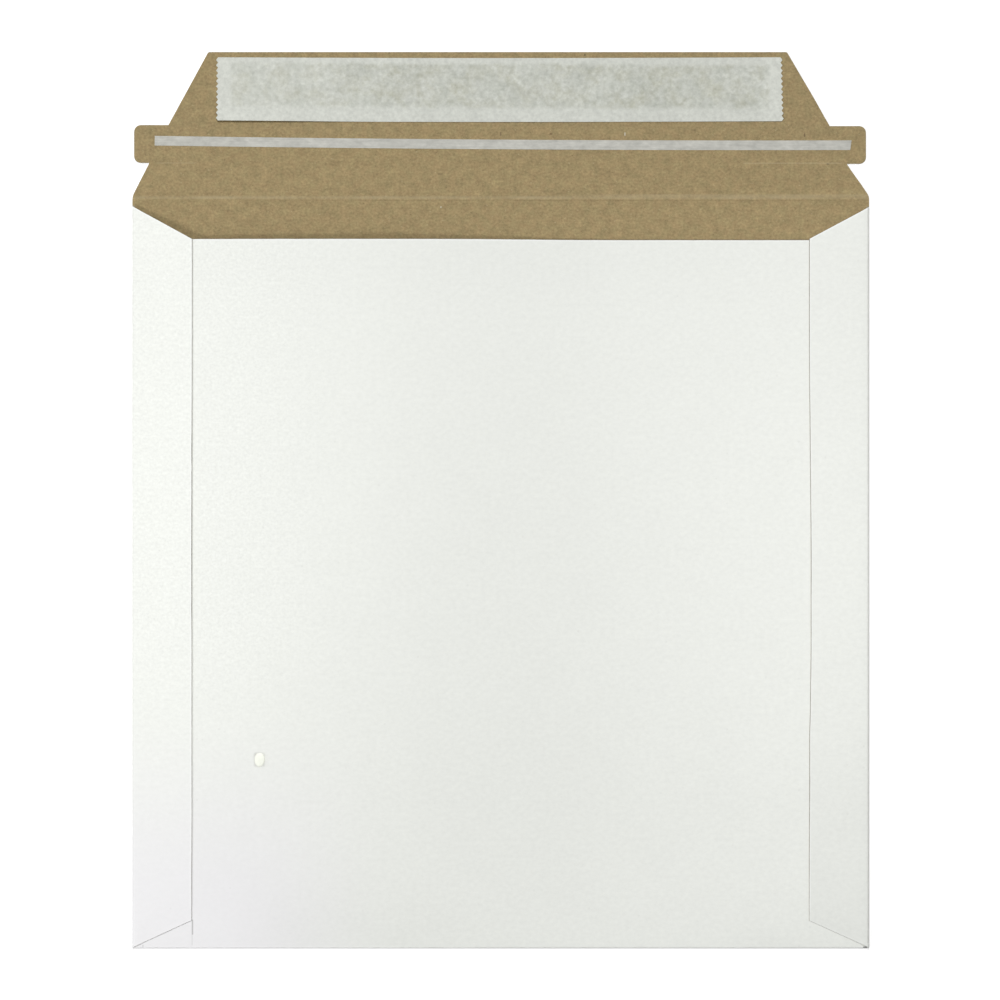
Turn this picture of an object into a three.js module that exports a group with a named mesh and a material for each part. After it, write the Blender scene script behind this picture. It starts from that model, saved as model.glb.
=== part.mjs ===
// A rigid cardboard mailer, lying on its back with the front up and the closure flap folded open.
// Millimetres, +Z up, +Y from the bottom fold to the flap's free edge, origin under the middle.
// The board is one sheet: the back panel, a front panel turned up at the bottom fold, and two side
// flaps wrapped round the side folds and glued to the front. The closure flap swings on the crease.

import * as THREE from "three";

// Board and pocket
const boardThickness = 0.6;
const mailerWidth = 317.5; // across the side folds
const backHeight = 323.85; // from the bottom fold to the crease
const mouthSetback = 17.7; // from the crease down to the front panel's top edge
const foldGap = 0.6; // between the back and front panels where they are folded together
const mouthGape = 4.4; // how much further apart the two panels stand at the middle of the mouth
const foldRelief = 0.5; // nick in the sheet at both ends of a side fold

// Side flaps and their glue
const sideFlapWidth = 25.4;
const sideFlapSetback = 3.45; // from the crease down to the top of the side fold
const sideFlapRise = 11.7; // of the slanted lower end, across the flap
const glueThickness = 0.15;
const glueClearance = 0.05; // to the board above and below
const glueWidth = 16;
const glueEdgeInset = 3; // from the side flap's free edge
const glueEndInset = 12; // from the side flap's shorter ends

// Closure flap, from the crease upwards
const creaseGap = 0.15;
const flapShoulder = 1.5; // full width just above the crease
const shoulderRadius = 2;
const tearStripSetback = 15.2;
const tearStripHeight = 16.3;
const tabInset = 1.05; // from the mailer's side to the end of a pull tab
const tabRadius = 2.9;
const flapEdgeInset = 34.05; // from the mailer's side to the end of the free edge
const flapEdgeRadius = 1;
const closingClearance = 0.2; // over the front panel when the flap is closed

// Seal strip and its liner
const adhesiveThickness = 0.12;
const adhesiveHeight = 18;
const adhesiveTopInset = 3.6; // below the liner's upper edge
const adhesiveEndInset = 6.1; // inside the liner's ends
const linerThickness = 0.08;
const linerHeight = 27.5;
const linerLift = 2.3; // above the tear strip
const linerTopInset = 2; // below the flap's free edge
const linerEndInset = 2.1; // inside the ends of the flap's free edge
const linerShift = -0.5; // laid a little to the left
const linerCutSkew = 0.6; // the right end leans out by this at its lower corner
const toothPitch = 2.25; // of the pinked ends
const toothDepth = 1;

// Tear tape
const tapeThickness = 0.12;
const tapeWidth = 4.2;
const tapeEndInset = 7.6; // inside the pull tabs' ends
const tapeShift = 0.7; // laid a little to the right
const tapeRise = 2.1; // the left end lies this far above the middle of the tear strip
const tapeCutSkew = 0.6; // the right end is cut askew

// Dried glue spot on the front panel
const spotWidth = 4.2;
const spotLength = 6;
const spotHeight = 0.35;
const spotFromSide = 54.45;
const spotFromBottom = 81.3;
const spotClearance = 0.05;

// Facets
const panelSteps = 12; // along and across the large panels
const flapSteps = 3; // across a side flap
const foldSteps = 10; // round a fold
const spotSides = 16;

// Finishes
const whiteCoat = { color: 0xe9ebe4, roughness: 0.55 };
const kraftFace = { color: 0x9d8b66, roughness: 0.85 };
const linerPaper = { color: 0xcdcfc7, roughness: 0.4 };
const clearGlue = { color: 0xd8d3bf, roughness: 0.3 };
const filamentTape = { color: 0xbcbdb4, roughness: 0.35 };
const driedGlue = { color: 0xfafbef, roughness: 0.6 };

// Places worked out from the sizes
const halfWidth = mailerWidth / 2;
const tabEnd = halfWidth - tabInset;
const flapEdgeEnd = halfWidth - flapEdgeInset;
const tearStripTop = tearStripSetback + tearStripHeight;
const flapLength = tearStripTop + linerLift + linerHeight + linerTopInset;
const bottomEdge = -(backHeight + flapLength) / 2;
const crease = bottomEdge + backHeight;
const mouth = crease - mouthSetback;
const seamGap = glueThickness + 2 * glueClearance;
const frontTop = 2 * boardThickness + foldGap; // outside of the front panel beside its folds
const linerStack = adhesiveThickness + linerThickness;

// Fold radii are those of the middle of the board
const bottomFoldRadius = (foldGap + boardThickness) / 2;
const sideFoldRadius = (foldGap + seamGap) / 2 + boardThickness;
const foldX = halfWidth - sideFoldRadius - boardThickness / 2;
const foldY = bottomEdge + bottomFoldRadius + boardThickness / 2;
const sideFoldLow = foldY + foldRelief;
const sideFoldHigh = crease - sideFlapSetback;
const sideFlapX = halfWidth - sideFlapWidth; // the side flap's free edge
const sideFlapDrop = mouthSetback - sideFlapSetback; // its upper end slants down to the mouth's level

// The crease's axis is halfway up the closed mailer, so that the shut flap lies flat on the front
const hingeHeight = (frontTop + mouthGape + closingClearance + linerStack + boardThickness) / 2;

// Evenly spaced lines from one value to another, both included
function lines(start, end, steps) {
  const count = Math.round(steps);
  return Array.from({ length: count + 1 }, (_, i) => THREE.MathUtils.lerp(start, end, i / count));
}

// How far the front panel arches up from its folded height: not at its folds, fully at mid-mouth
function standOff(x, y) {
  const across = Math.min(Math.abs(x) / foldX, 1);
  const up = THREE.MathUtils.clamp((y - foldY) / (mouth - foldY), 0, 1);
  return mouthGape * (1 - across ** 3) * (1 - (1 - up) ** 3);
}

// Lays a length of board round a half-turn fold, and back over itself once it is past the turn
function wrap(length, radius) {
  const turn = Math.min(length / radius, Math.PI);
  const past = Math.max(length - Math.PI * radius, 0);
  return { turn, past, out: radius * Math.sin(turn) - past, up: radius * (1 - Math.cos(turn)) };
}

// Where a point of the flat sheet comes to lie, and which way its kraft face looks there
function fold(x, y) {
  const point = new THREE.Vector3(x, y, boardThickness / 2);
  const inward = new THREE.Vector3(0, 0, 1);
  if (y < foldY) {
    const bend = wrap(foldY - y, bottomFoldRadius);
    point.y = foldY - bend.out;
    point.z += bend.up;
    if (bend.past > 0) point.z += standOff(point.x, point.y);
    inward.set(0, Math.sin(bend.turn), Math.cos(bend.turn));
  } else if (Math.abs(x) > foldX && y <= sideFoldHigh) {
    const side = Math.sign(x);
    const bend = wrap(Math.abs(x) - foldX, sideFoldRadius);
    const taper = bend.past / (foldX - sideFlapX);
    const along = (y - sideFoldLow) / (sideFoldHigh - sideFoldLow);
    const low = sideFoldLow + sideFlapRise * taper;
    const high = sideFoldHigh - sideFlapDrop * taper;
    point.set(side * (foldX + bend.out), THREE.MathUtils.lerp(low, high, along), point.z + bend.up);
    if (bend.past > 0) point.z += standOff(point.x, point.y);
    inward.set(-side * Math.sin(bend.turn), 0, Math.cos(bend.turn));
  }
  return { point, inward };
}

// A closed sheet: patches of a flat grid joined at shared lines, each corner put where place() says,
// thickened to both sides, with a cut edge wherever a patch has no neighbour
function sheetGeometry(patches, place, thickness) {
  const inside = [];
  const outside = [];
  const numbers = new Map();
  const corner = (x, y) => {
    const key = `${x} ${y}`;
    if (!numbers.has(key)) {
      const { point, inward } = place(x, y);
      inside.push(point.clone().addScaledVector(inward, thickness / 2));
      outside.push(point.clone().addScaledVector(inward, -thickness / 2));
      numbers.set(key, numbers.size);
    }
    return numbers.get(key);
  };

  const faces = [];
  for (const { xs, ys } of patches) {
    for (let i = 1; i < xs.length; i++) {
      for (let j = 1; j < ys.length; j++) {
        const a = corner(xs[i - 1], ys[j - 1]);
        const b = corner(xs[i], ys[j - 1]);
        const c = corner(xs[i], ys[j]);
        const d = corner(xs[i - 1], ys[j]);
        faces.push([a, b, c], [a, c, d]);
      }
    }
  }

  const sidesOf = ([a, b, c]) => [[a, b], [b, c], [c, a]];
  const edges = new Set(faces.flatMap(sidesOf).map(([from, to]) => `${from} ${to}`));
  const under = numbers.size; // the outside corners come after all the inside ones
  const index = [];
  for (const face of faces) {
    const [a, b, c] = face;
    index.push(a, b, c, under + a, under + c, under + b);
    for (const [from, to] of sidesOf(face)) {
      if (edges.has(`${to} ${from}`)) continue;
      index.push(under + from, under + to, to, under + from, to, from);
    }
  }
  const geometry = new THREE.BufferGeometry().setFromPoints([...inside, ...outside]).setIndex(index);
  geometry.computeVertexNormals();
  return geometry;
}

// The pocket's sheet as it is cut, kraft face up: the back panel with its folds and flaps round it
function pocketGeometry() {
  const frontStart = foldY - Math.PI * bottomFoldRadius;
  const sideFlapStart = foldX + Math.PI * sideFoldRadius;
  const sideFlapEnd = sideFlapStart + foldX - sideFlapX;
  const backXs = [
    ...lines(-foldX, -sideFlapX, flapSteps),
    ...lines(-sideFlapX, sideFlapX, panelSteps).slice(1),
    ...lines(sideFlapX, foldX, flapSteps).slice(1),
  ];
  const sideYs = lines(sideFoldLow, sideFoldHigh, panelSteps);
  const sideXs = [
    ...lines(foldX, sideFlapStart, foldSteps),
    ...lines(sideFlapStart, sideFlapEnd, flapSteps).slice(1),
  ];
  const shoulderYs = [sideFoldHigh + foldRelief, crease - creaseGap];
  const bottomFoldYs = lines(frontStart, foldY, foldSteps);
  const patches = [
    { xs: backXs, ys: [foldY, ...sideYs, ...shoulderYs] },
    { xs: [-halfWidth, ...backXs, halfWidth], ys: bottomFoldYs },
    { xs: backXs, ys: lines(frontStart - (mouth - foldY), frontStart, panelSteps) },
    { xs: [-halfWidth, -foldX], ys: shoulderYs },
    { xs: [foldX, halfWidth], ys: shoulderYs },
    { xs: sideXs.map((x) => -x).reverse(), ys: sideYs },
    { xs: sideXs, ys: sideYs },
  ];
  return sheetGeometry(patches, fold, boardThickness);
}

// A glue line between the front panel and one side flap, arched with them
function seamGlueGeometry(side) {
  const middle = side * (sideFlapX + glueEdgeInset + glueWidth / 2);
  const xs = lines(middle - glueWidth / 2, middle + glueWidth / 2, flapSteps);
  const ys = lines(sideFoldLow + sideFlapRise + glueEndInset, mouth - glueEndInset, panelSteps);
  const place = (x, y) => ({
    point: new THREE.Vector3(x, y, frontTop + seamGap / 2 + standOff(x, y)),
    inward: new THREE.Vector3(0, 0, 1),
  });
  return sheetGeometry([{ xs, ys }], place, glueThickness);
}

// A low round drop of dried glue, standing on its flat side
function glueSpotGeometry() {
  const radius = spotWidth / 2;
  const dome = lines(0, 1, spotSides / 4).map((share) => {
    const angle = (share * Math.PI) / 2;
    return new THREE.Vector2(share === 1 ? 0 : radius * Math.cos(angle), spotHeight * Math.sin(angle));
  });
  const drop = new THREE.LatheGeometry([new THREE.Vector2(0, 0), ...dome], spotSides);
  drop.rotateX(Math.PI / 2);
  drop.scale(1, spotLength / spotWidth, 1);
  return drop;
}

// A closed outline through corners [x, y, radius], each rounded by an arc of its own radius
function roundedShape(corners) {
  const shape = new THREE.Shape();
  corners.forEach(([x, y, radius], i) => {
    if (radius === 0) {
      if (i === 0) shape.moveTo(x, y);
      else shape.lineTo(x, y);
      return;
    }
    const corner = new THREE.Vector2(x, y);
    const [beforeX, beforeY] = corners.at(i - 1);
    const [afterX, afterY] = corners[(i + 1) % corners.length];
    const before = new THREE.Vector2(beforeX, beforeY).sub(corner).normalize();
    const after = new THREE.Vector2(afterX, afterY).sub(corner).normalize();
    const halfAngle = Math.acos(before.dot(after)) / 2;
    const middle = before.clone().add(after).normalize();
    const centre = corner.clone().addScaledVector(middle, radius / Math.sin(halfAngle));
    const tangent = radius / Math.tan(halfAngle);
    const start = corner.clone().addScaledVector(before, tangent).sub(centre).angle();
    const end = corner.clone().addScaledVector(after, tangent).sub(centre).angle();
    shape.absarc(centre.x, centre.y, radius, start, end, before.cross(after) > 0);
  });
  return shape;
}

// A flat piece of the given thickness, standing on z = 0
function plate(shape, thickness) {
  return new THREE.ExtrudeGeometry(shape, { depth: thickness, bevelEnabled: false, curveSegments: 6 });
}

// The closure flap, crease at y = 0: slanted sides, with the tear strip reaching out as two tabs
function closureFlapGeometry() {
  const slant = (y) => {
    const share = (y - flapShoulder) / (flapLength - flapShoulder);
    return THREE.MathUtils.lerp(halfWidth, flapEdgeEnd, share);
  };
  const rightSide = [
    [halfWidth, creaseGap, 0],
    [halfWidth, flapShoulder, shoulderRadius],
    [slant(tearStripSetback), tearStripSetback, 0],
    [tabEnd, tearStripSetback, tabRadius],
    [tabEnd, tearStripTop, tabRadius],
    [slant(tearStripTop), tearStripTop, 0],
    [flapEdgeEnd, flapLength, flapEdgeRadius],
  ];
  const leftSide = rightSide.map(([x, y, radius]) => [-x, y, radius]).reverse();
  return plate(roundedShape([...rightSide, ...leftSide]), boardThickness);
}

const linerLeft = linerShift - (flapEdgeEnd - linerEndInset);
const linerRight = linerShift + (flapEdgeEnd - linerEndInset);
const linerUpper = flapLength - linerTopInset;
const linerLower = linerUpper - linerHeight;

// The liner strip, with a zigzag along both short ends
function releaseLinerGeometry() {
  const steps = 2 * Math.round(linerHeight / toothPitch);
  const tooth = (i) => toothDepth * (i % 2);
  const shape = new THREE.Shape();
  lines(linerLower, linerUpper, steps).forEach((y, i) => {
    const lean = linerCutSkew * (1 - i / steps);
    const x = linerRight + lean - toothDepth + tooth(i);
    if (i === 0) shape.moveTo(x, y);
    else shape.lineTo(x, y);
  });
  lines(linerUpper, linerLower, steps).forEach((y, i) => shape.lineTo(linerLeft + toothDepth - tooth(i), y));
  return plate(shape, linerThickness);
}

// The adhesive's strip, under the liner and inside its edges
function sealAdhesiveGeometry() {
  const left = linerLeft + adhesiveEndInset;
  const right = linerRight - adhesiveEndInset;
  const upper = linerUpper - adhesiveTopInset;
  const strip = new THREE.BoxGeometry(right - left, adhesiveHeight, adhesiveThickness);
  return strip.translate((left + right) / 2, upper - adhesiveHeight / 2, adhesiveThickness / 2);
}

// The tear tape, bowed down from its raised left end to the middle of the tear strip
function tearTapeGeometry() {
  const middle = (tearStripSetback + tearStripTop) / 2;
  const reach = tabEnd - tapeEndInset;
  const left = tapeShift - reach;
  const right = tapeShift + reach;
  const lower = middle - tapeWidth / 2;
  const upper = middle + tapeWidth / 2;
  const shape = new THREE.Shape();
  shape.moveTo(left, lower + tapeRise);
  shape.quadraticCurveTo(tapeShift, lower, right - tapeCutSkew, lower);
  shape.lineTo(right, upper);
  shape.quadraticCurveTo(tapeShift, upper, left, upper + tapeRise);
  return plate(shape, tapeThickness);
}

function addPiece(group, name, geometry, finish, height = 0) {
  const piece = new THREE.Mesh(geometry, new THREE.MeshStandardMaterial({ ...finish, metalness: 0 }));
  piece.name = name;
  piece.position.z = height;
  group.add(piece);
  return piece;
}

// The pocket and what is stuck to it
const pocket = new THREE.Group();
addPiece(pocket, "pocket", pocketGeometry(), whiteCoat);
addPiece(pocket, "seam_glue_left", seamGlueGeometry(-1), clearGlue);
addPiece(pocket, "seam_glue_right", seamGlueGeometry(1), clearGlue);

const spotX = spotFromSide - halfWidth;
const spotY = bottomEdge + spotFromBottom;
const spotRest = frontTop + standOff(spotX + spotWidth / 2, spotY + spotLength / 2); // under its highest side
const spot = addPiece(pocket, "glue_spot", glueSpotGeometry(), driedGlue);
spot.position.set(spotX, spotY, spotRest + spotClearance);

// The flap and what is stuck to it, hung on the crease's axis: turning flapHinge about X shuts it
const flapHinge = new THREE.Group();
flapHinge.position.set(0, crease, hingeHeight);
const flap = new THREE.Group();
flap.position.z = -hingeHeight;
flapHinge.add(flap);
addPiece(flap, "closure_flap", closureFlapGeometry(), kraftFace);
addPiece(flap, "seal_adhesive", sealAdhesiveGeometry(), clearGlue, boardThickness);
addPiece(flap, "release_liner", releaseLinerGeometry(), linerPaper, boardThickness + adhesiveThickness);
addPiece(flap, "tear_tape", tearTapeGeometry(), filamentTape, boardThickness);

const mailer = new THREE.Group();
mailer.add(pocket, flapHinge);

export default mailer;
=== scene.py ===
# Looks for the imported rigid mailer: one folded board sheet with its liner, tape and glue.
# Metres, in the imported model's frame: +Y towards the flap's free edge, +Z up.
import math
from functools import partial

import bmesh
import bpy
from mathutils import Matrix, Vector


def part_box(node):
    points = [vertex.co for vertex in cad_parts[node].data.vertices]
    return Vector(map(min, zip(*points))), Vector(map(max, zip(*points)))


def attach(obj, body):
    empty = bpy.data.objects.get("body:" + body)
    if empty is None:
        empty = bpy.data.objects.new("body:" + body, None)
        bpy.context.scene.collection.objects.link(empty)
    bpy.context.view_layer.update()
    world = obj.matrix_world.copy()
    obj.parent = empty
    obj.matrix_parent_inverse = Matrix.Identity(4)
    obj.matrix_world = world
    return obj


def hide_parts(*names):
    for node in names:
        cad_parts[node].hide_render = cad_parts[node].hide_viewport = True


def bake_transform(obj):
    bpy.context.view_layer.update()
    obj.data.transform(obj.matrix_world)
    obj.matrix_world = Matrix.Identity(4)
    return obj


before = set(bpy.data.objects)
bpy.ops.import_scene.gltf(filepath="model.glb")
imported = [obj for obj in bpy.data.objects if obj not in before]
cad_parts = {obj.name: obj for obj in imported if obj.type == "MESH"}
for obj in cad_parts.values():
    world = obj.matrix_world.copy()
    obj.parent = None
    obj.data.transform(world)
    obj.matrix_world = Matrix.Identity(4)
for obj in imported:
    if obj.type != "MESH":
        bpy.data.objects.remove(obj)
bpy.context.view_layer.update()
mm = 0.001
print("frame loaded:", ", ".join(sorted(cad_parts)))


# Small helpers for node trees
def addNode(tree, kind, **settings):
    node = tree.nodes.new(kind)
    for key, value in settings.items():
        setattr(node, key, value)
    return node


def linked(value):
    return isinstance(value, bpy.types.NodeSocket)


def feed(value, socket):  # links a socket, writes anything else as a plain value
    if linked(value):
        socket.id_data.links.new(value, socket)
    else:
        socket.default_value = value


def wire(kind, inputs, **settings):  # a node with its inputs fed, in the tree of its first link
    tree = next(value.id_data for value in inputs.values() if linked(value))
    node = addNode(tree, kind, **settings)
    for key, value in inputs.items():
        feed(value, node.inputs[key])
    return node.outputs


def calc(operation, *values):
    return wire("ShaderNodeMath", dict(enumerate(values)), operation=operation)[0]


def chained(operation, first, *rest):
    for value in rest:
        first = calc(operation, first, value)
    return first


times = partial(chained, "MULTIPLY")  # these three take any number of values
plus = partial(chained, "ADD")
minus = partial(chained, "SUBTRACT")
divided = partial(calc, "DIVIDE")
timesPlus = partial(calc, "MULTIPLY_ADD")
power = partial(calc, "POWER")
absolute = partial(calc, "ABSOLUTE")
signOf = partial(calc, "SIGN")
atLeast = partial(calc, "MAXIMUM")
isOver = partial(calc, "GREATER_THAN")  # 1 where it is, 0 elsewhere
isUnder = partial(calc, "LESS_THAN")


def combine(x, y, z):
    return wire("ShaderNodeCombineXYZ", {"X": x, "Y": y, "Z": z})[0]


def split(vector):
    return wire("ShaderNodeSeparateXYZ", {0: vector})


def ranged(value, low, high, toLow=0.0, toHigh=1.0, smooth=True):
    kind = "SMOOTHSTEP" if smooth else "LINEAR"
    inputs = {"Value": value, "From Min": low, "From Max": high, "To Min": toLow, "To Max": toHigh}
    return wire("ShaderNodeMapRange", inputs, interpolation_type=kind)[0]


def slopes(places, *rows):  # adds up rows, each a product of slopes: place, from, to, before, after
    return plus(*[times(*[ranged(places[name], *slope) for name, *slope in row]) for row in rows])


def cloud(place, scale, detail=2.0, roughness=0.5):  # noise from 0 to 1
    inputs = {"Vector": place, "Scale": scale, "Detail": detail, "Roughness": roughness}
    return wire("ShaderNodeTexNoise", inputs)[0]


def noise(*settings):  # the same about 0, mostly within 0.5 of it
    return timesPlus(cloud(*settings), 2.0, -1.0)


socketKinds = {float: "Float", int: "Int", bool: "Bool", tuple: "Vector", type(None): "Geometry"}
noPlace = (0.0, 0.0, 0.0)


def makeGroup(name, kind, inputs, outputs):  # sockets are {name: start value}, which also gives their kind
    tree = bpy.data.node_groups.new(name, kind)
    for way, sockets in (("INPUT", inputs), ("OUTPUT", outputs)):
        for label, start in sockets.items():
            socketType = "NodeSocket" + socketKinds[type(start)]
            socket = tree.interface.new_socket(name=label, in_out=way, socket_type=socketType)
            if way == "INPUT" and start is not None:
                socket.default_value = start
    return tree, addNode(tree, "NodeGroupInput").outputs


def useGroup(group, inputs):
    return wire(group.bl_idname.replace("Tree", "Group"), inputs, node_tree=group)


def layOut(tree):  # puts each node left of what it feeds, so that the tree can be read
    depth = {node: 0 for node in tree.nodes}
    for _ in range(len(tree.nodes)):
        changed = False
        for link in tree.links:
            if depth[link.from_node] <= depth[link.to_node]:
                depth[link.from_node] = depth[link.to_node] + 1
                changed = True
        if not changed:
            break
    filled = {}
    for node, level in depth.items():
        node.location = (-210 * level, -190 * filled.get(level, 0))
        filled[level] = filled.get(level, 0) + 1


def endGroup(**results):  # links a group's results and lays its tree out
    tree = next(iter(results.values())).id_data
    out = addNode(tree, "NodeGroupOutput").inputs
    for label, value in results.items():
        feed(value, out[label])
    layOut(tree)
    return tree


# Shader effects that several finishes share
def paperGrainGroup():
    inputs = {"Vector": noPlace, "Grain": 900.0, "Stretch": 1.0, "Clouds": 40.0}
    outputs = {"Fine": 0.0, "Clouding": 0.0, "Height": 0.0}
    _, given = makeGroup("paperGrain", "ShaderNodeTree", inputs, outputs)
    x, y, z = split(given["Vector"])
    drawn = combine(divided(x, given["Stretch"]), y, z)  # fibres lie along X
    fine = noise(drawn, given["Grain"], 3.0, 0.6)
    clouding = noise(given["Vector"], given["Clouds"], 3.0, 0.55)
    fuzz = noise(drawn, times(given["Grain"], 2.3), 2.0, 0.7)
    return endGroup(Fine=fine, Clouding=clouding, Height=timesPlus(fuzz, 0.5, fine))


def flecksGroup():
    inputs = {"Vector": noPlace, "Scale": 300.0, "Share": 0.1, "Size": 0.2}
    _, given = makeGroup("flecks", "ShaderNodeTree", inputs, {"Mask": 0.0})
    cells = wire("ShaderNodeTexVoronoi", {"Vector": given["Vector"], "Scale": given["Scale"]})
    draw = split(cells["Color"])[0]  # one random number for each cell
    spot = ranged(cells["Distance"], times(given["Size"], 0.4), given["Size"], 1.0, 0.0)
    return endGroup(Mask=times(spot, isUnder(draw, given["Share"])))


# a painted highlight along cut edges: a ragged band that fades with the distance to the edge
def edgeHighlightGroup():
    inputs = {"Vector": noPlace, "Distance": 0.0, "Width": 0.6 * mm, "Ragged": 0.5}
    _, given = makeGroup("edgeHighlight", "ShaderNodeTree", inputs, {"Mask": 0.0})
    rag = noise(given["Vector"], 700.0, 3.0)
    reach = times(given["Width"], timesPlus(rag, given["Ragged"], 1.0))
    return endGroup(Mask=ranged(given["Distance"], times(reach, 0.5), reach, 1.0, 0.0))


def strokeGroup():  # one straight mark: a line of half length Reach, or a dot where Reach is 0
    inputs = {"Vector": noPlace, "Middle": noPlace, "Reach X": 0.0, "Reach Y": 0.0, "Radius": 0.5 * mm}
    _, given = makeGroup("stroke", "ShaderNodeTree", inputs, {"Mask": 0.0})
    ends = {0: given["Vector"], 1: given["Middle"]}
    away = split(wire("ShaderNodeVectorMath", ends, operation="SUBTRACT")[0])
    pastX, pastY = [atLeast(minus(absolute(away[axis]), given["Reach " + axis]), 0.0) for axis in "XY"]
    distance = calc("SQRT", timesPlus(pastX, pastX, times(pastY, pastY)))
    return endGroup(Mask=ranged(distance, 0.0, given["Radius"], 1.0, 0.0))


paperGrain, flecks, edgeHighlight, stroke = paperGrainGroup(), flecksGroup(), edgeHighlightGroup(), strokeGroup()


# Parts that every finish is put together from
def startMaterial(name):
    material = bpy.data.materials.new(name)
    material.use_nodes = True
    tree = material.node_tree
    tree.nodes.clear()
    shader = addNode(tree, "ShaderNodeBsdfPrincipled", name="shader")
    feed(shader.outputs[0], addNode(tree, "ShaderNodeOutputMaterial").inputs["Surface"])
    return material, tree


def endMaterial(material, finish, colour, rough, height):  # rough and height are values over the surface
    shader = material.node_tree.nodes["shader"].inputs
    strength, depth = finish["bump"]
    bump = wire("ShaderNodeBump", {"Strength": strength, "Distance": depth, "Height": height})[0]
    feed(colour, shader["Base Color"])
    feed(ranged(rough, *finish["roughness"], False), shader["Roughness"])
    feed(finish["specular"], shader["Specular IOR Level"])
    feed(bump, shader["Normal"])
    layOut(material.node_tree)
    return material


def attribute(tree, name, kind="Fac"):
    return addNode(tree, "ShaderNodeAttribute", attribute_name=name).outputs[kind]


def objectPlace(tree):
    return addNode(tree, "ShaderNodeTexCoord").outputs["Object"]


def mixed(factor, first, second, mode="MIX"):
    colours = [value if linked(value) else (*value, 1.0) for value in (first, second)]
    inputs = {0: factor, 6: colours[0], 7: colours[1]}  # the colour mix uses these sockets
    return wire("ShaderNodeMix", inputs, data_type="RGBA", blend_type=mode)[2]


def toned(colour, value, amount):  # lightens or darkens a colour by a value about 0
    gain = timesPlus(value, amount, 1.0)
    return mixed(1.0, colour, combine(gain, gain, gain), "MULTIPLY")


def grained(colour, grain, finish):
    fine, clouding = finish["grainTones"]
    return toned(toned(colour, grain["Fine"], fine), grain["Clouding"], clouding)


def specked(colour, place, finish, tint):
    specks = useGroup(flecks, {"Vector": place, **finish["specks"]})["Mask"]
    return mixed(times(specks, finish["speckAmount"]), colour, tint)


def marked(colour, place, marks):  # in mm: x, y, half length along x and y, radius; then amount and colour
    for x, y, reachX, reachY, radius, amount, tint in marks:
        inputs = {"Vector": place, "Middle": (x * mm, y * mm, 0.0), "Radius": radius * mm}
        inputs.update({"Reach X": reachX * mm, "Reach Y": reachY * mm})
        colour = mixed(times(useGroup(stroke, inputs)["Mask"], amount), colour, tint)
    return colour


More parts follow.
